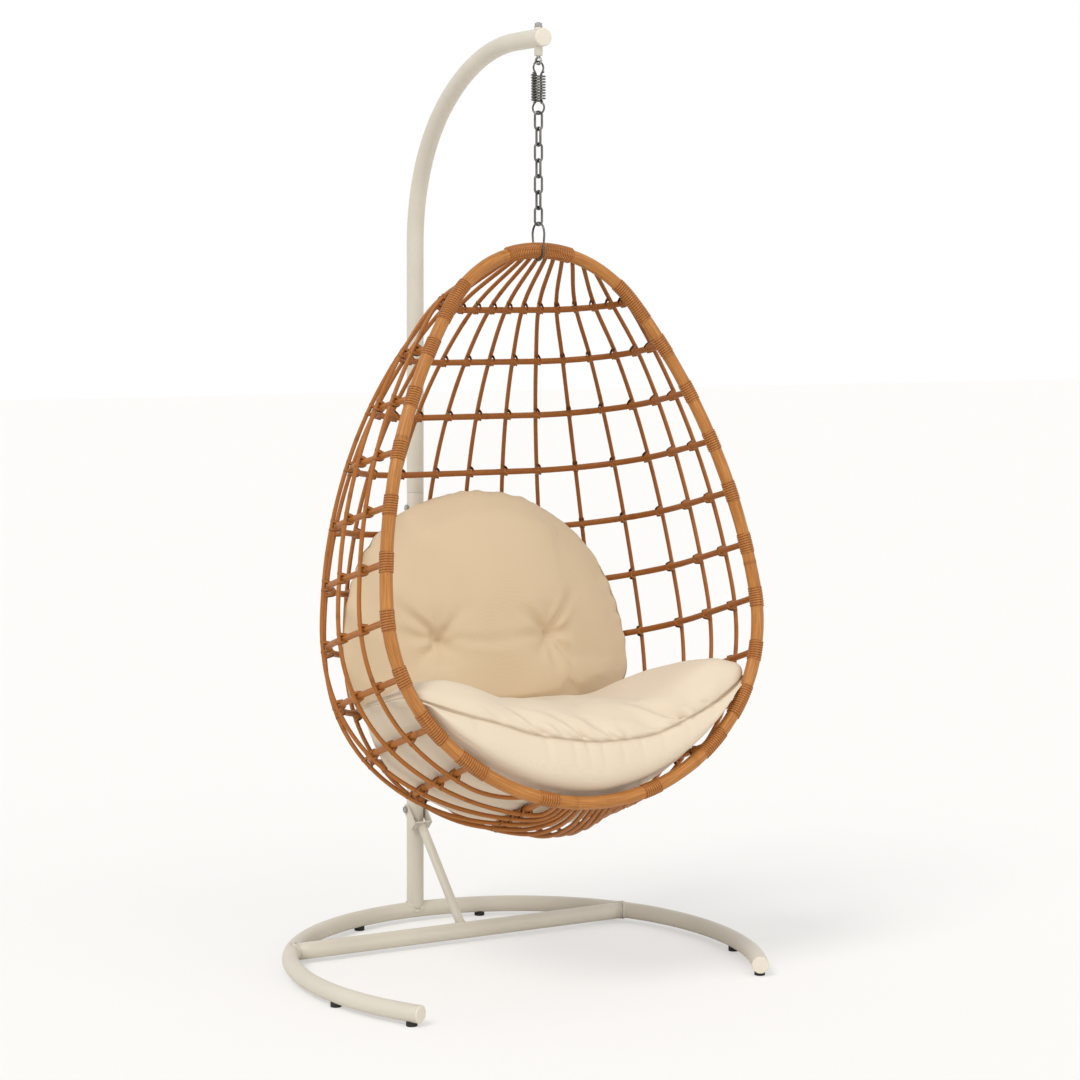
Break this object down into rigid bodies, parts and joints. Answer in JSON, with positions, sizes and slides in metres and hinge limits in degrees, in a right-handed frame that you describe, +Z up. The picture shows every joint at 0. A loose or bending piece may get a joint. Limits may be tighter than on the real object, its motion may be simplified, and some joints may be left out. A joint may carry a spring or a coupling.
{
  "type": "hanging egg chair",
  "caption": "Egg-shaped rattan basket chair with two cushions, hung by a chain and drawbar spring from a bent tube stand on an open floor ring.",
  "frame": {"origin": "on the floor, at the middle of the chair's box", "axes": "+Z up, +Y to the post behind the sitter, +X to the sitter's left"},
  "size_m": [0.9824, 0.8519, 1.9645],
  "materials": {
    "stand_paint": "satin",
    "plug_plastic": "satin",
    "foot_rubber": "matte",
    "zinc": "zinc plated",
    "chain_steel": "plated",
    "rattan_pole": "lacquered",
    "rattan_rod": "lacquered",
    "rattan_strip": "lacquered",
    "seat_cloth": "woven canvas",
    "back_cloth": "woven canvas"
  },
  "bodies": {
    "stand": {"base_ring": "stand_paint", "ring_end_caps": "plug_plastic", "rubber_feet": "foot_rubber", "cross_bar": "stand_paint", "lower_post": "stand_paint", "upper_arm": "stand_paint", "arm_end_cap": "plug_plastic", "post_joint_bolt": "zinc", "post_joint_nut": "zinc", "brace_bracket": "stand_paint", "brace": "stand_paint", "brace_bolt": "zinc", "brace_nut": "zinc", "hanger_sleeve": "stand_paint", "eye_bolt": "zinc", "top_washer": "zinc", "top_nut": "zinc"},
    "spring_top": {"spring_upper_bar": "chain_steel", "spring_coil": "chain_steel"},
    "spring_bottom": {"spring_lower_bar": "chain_steel"},
    "link_1": {"chain_link_1": "chain_steel"},
    "link_2": {"chain_link_2": "chain_steel"},
    "link_3": {"chain_link_3": "chain_steel"},
    "link_4": {"chain_link_4": "chain_steel"},
    "link_5": {"chain_link_5": "chain_steel"},
    "link_6": {"chain_link_6": "chain_steel"},
    "link_7": {"chain_link_7": "chain_steel"},
    "hanger": {"hanger_loop": "chain_steel"},
    "basket": {"hoop_pole": "rattan_pole", "top_binding": "rattan_strip", "ring_01": "rattan_rod", "ring_02": "rattan_rod", "ring_03": "rattan_rod", "ring_04": "rattan_rod", "ring_05": "rattan_rod", "ring_06": "rattan_rod", "ring_07": "rattan_rod", "ring_08": "rattan_rod", "ring_09": "rattan_rod", "ring_10": "rattan_rod", "ring_11": "rattan_rod", "rib_01": "rattan_rod", "rib_02": "rattan_rod", "rib_03": "rattan_rod", "rib_04": "rattan_rod", "rib_05": "rattan_rod", "rib_06": "rattan_rod", "rib_07": "rattan_rod", "rib_08": "rattan_rod", "rib_09": "rattan_rod", "rib_10": "rattan_rod", "rib_11": "rattan_rod", "rib_12": "rattan_rod", "rib_13": "rattan_rod", "rib_14": "rattan_rod", "rib_15": "rattan_rod"},
    "seat": {"seat_cushion": "seat_cloth"},
    "back": {"back_cushion": "back_cloth"}
  },
  "joints": [
    {"name": "spring_sway", "type": "hinge", "parent": "stand", "child": "spring_top", "pos_m": [0, -0.15829, 1.87775], "axis": [-0.342, 0.9397, 0], "range_deg": [-8, 8]},
    {"name": "spring_stretch", "type": "slide", "parent": "spring_top", "child": "spring_bottom", "axis": [0, 0, -1], "range_m": [0, 0.015], "stiffness_N_per_m": 60000, "springref_m": -0.0016, "deforming": ["spring_coil"]},
    {"name": "link_1_sway", "type": "hinge", "parent": "spring_bottom", "child": "link_1", "pos_m": [0, -0.15829, 1.77485], "axis": [-0.342, 0.9397, 0], "range_deg": [-6, 6]},
    {"name": "link_2_swing", "type": "hinge", "parent": "link_1", "child": "link_2", "pos_m": [0, -0.15829, 1.74185], "axis": [-1, 0, 0], "range_deg": [-5, 20]},
    {"name": "chain_twist", "type": "hinge", "parent": "link_2", "child": "link_7", "pos_m": [0, -0.15829, 1.58415], "axis": [0, 0, 1], "range_deg": [-50, 50]},
    {"name": "link_3_twist", "type": "hinge", "parent": "link_2", "child": "link_3", "pos_m": [0, -0.15829, 1.71495], "axis": [0, 0, 1], "range_deg": [-10, 10]},
    {"name": "link_4_twist", "type": "hinge", "parent": "link_2", "child": "link_4", "pos_m": [0, -0.15829, 1.68225], "axis": [0, 0, 1], "range_deg": [-20, 20]},
    {"name": "link_5_twist", "type": "hinge", "parent": "link_2", "child": "link_5", "pos_m": [0, -0.15829, 1.64955], "axis": [0, 0, 1], "range_deg": [-30, 30]},
    {"name": "link_6_twist", "type": "hinge", "parent": "link_2", "child": "link_6", "pos_m": [0, -0.15829, 1.61685], "axis": [0, 0, 1], "range_deg": [-40, 40]},
    {"name": "hanger_swing", "type": "hinge", "parent": "link_7", "child": "hanger", "pos_m": [0, -0.15829, 1.54565], "axis": [-1, 0, 0], "range_deg": [-3, 8]},
    {"name": "basket_tilt", "type": "hinge", "parent": "hanger", "child": "basket", "pos_m": [0, -0.15829, 1.49375], "axis": [-1, 0, 0], "range_deg": [-4, 10]},
    {"name": "back_lift_out", "type": "slide", "parent": "basket", "child": "back", "axis": [0, -0.9272, 0.3746], "range_m": [0, 0.45]},
    {"name": "seat_lift_out", "type": "slide", "parent": "basket", "child": "seat", "axis": [0, -0.9272, 0.3746], "range_m": [0, 0.45]}
  ],
  "couplings": [
    {"joint": "link_3_twist", "follows": "chain_twist", "ratio": 0.2},
    {"joint": "link_4_twist", "follows": "chain_twist", "ratio": 0.4},
    {"joint": "link_5_twist", "follows": "chain_twist", "ratio": 0.6},
    {"joint": "link_6_twist", "follows": "chain_twist", "ratio": 0.8},
    {"joint": "seat_lift_out", "follows": "back_lift_out", "ratio": 1}
  ]
}
